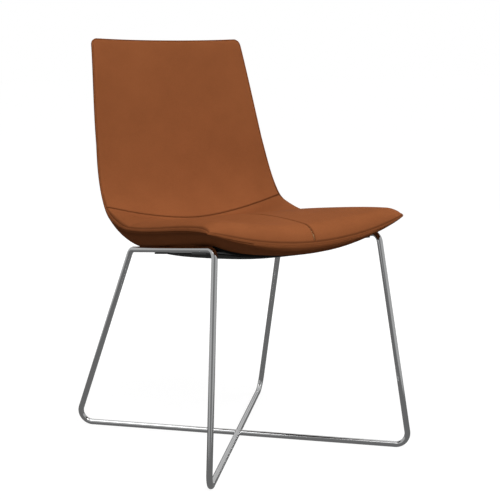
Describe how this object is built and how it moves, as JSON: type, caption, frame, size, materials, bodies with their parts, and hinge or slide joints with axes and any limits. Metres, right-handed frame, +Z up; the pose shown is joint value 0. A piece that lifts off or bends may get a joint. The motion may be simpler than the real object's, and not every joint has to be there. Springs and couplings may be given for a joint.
{
  "type": "guest chair",
  "caption": "Armless guest chair: one-piece leather-covered seat and back shell on a crossed steel rod base.",
  "frame": {"origin": "on the floor, in the middle of the overall width and length", "axes": "+Z up, the sitter faces -Y, +X is to the sitter's left"},
  "size_m": [0.4912, 0.5707, 0.8325],
  "materials": {
    "leather": "satin, fine grain",
    "chrome": "polished",
    "screw_steel": "zinc plated",
    "insert_brass": "machined",
    "shell_moulding": "moulded",
    "foam": "open cell foam",
    "pan_plastic": "fine matt texture"
  },
  "bodies": {
    "root": {"long_base_rod": "chrome", "rear_base_rod": "chrome", "front_base_rod": "chrome", "strap_welds": "chrome", "front_strap": "chrome", "rear_strap": "chrome", "shell_screws": "screw_steel", "shell_washers": "screw_steel", "threaded_inserts": "insert_brass", "inner_shell": "shell_moulding", "seat_foam": "foam", "back_foam": "foam", "outer_foam": "foam", "seat_cover_left": "leather", "seat_cover_right": "leather", "back_cover": "leather", "outer_cover": "leather", "under_pan": "pan_plastic", "pan_screws": "screw_steel"}
  },
  "joints": []
}
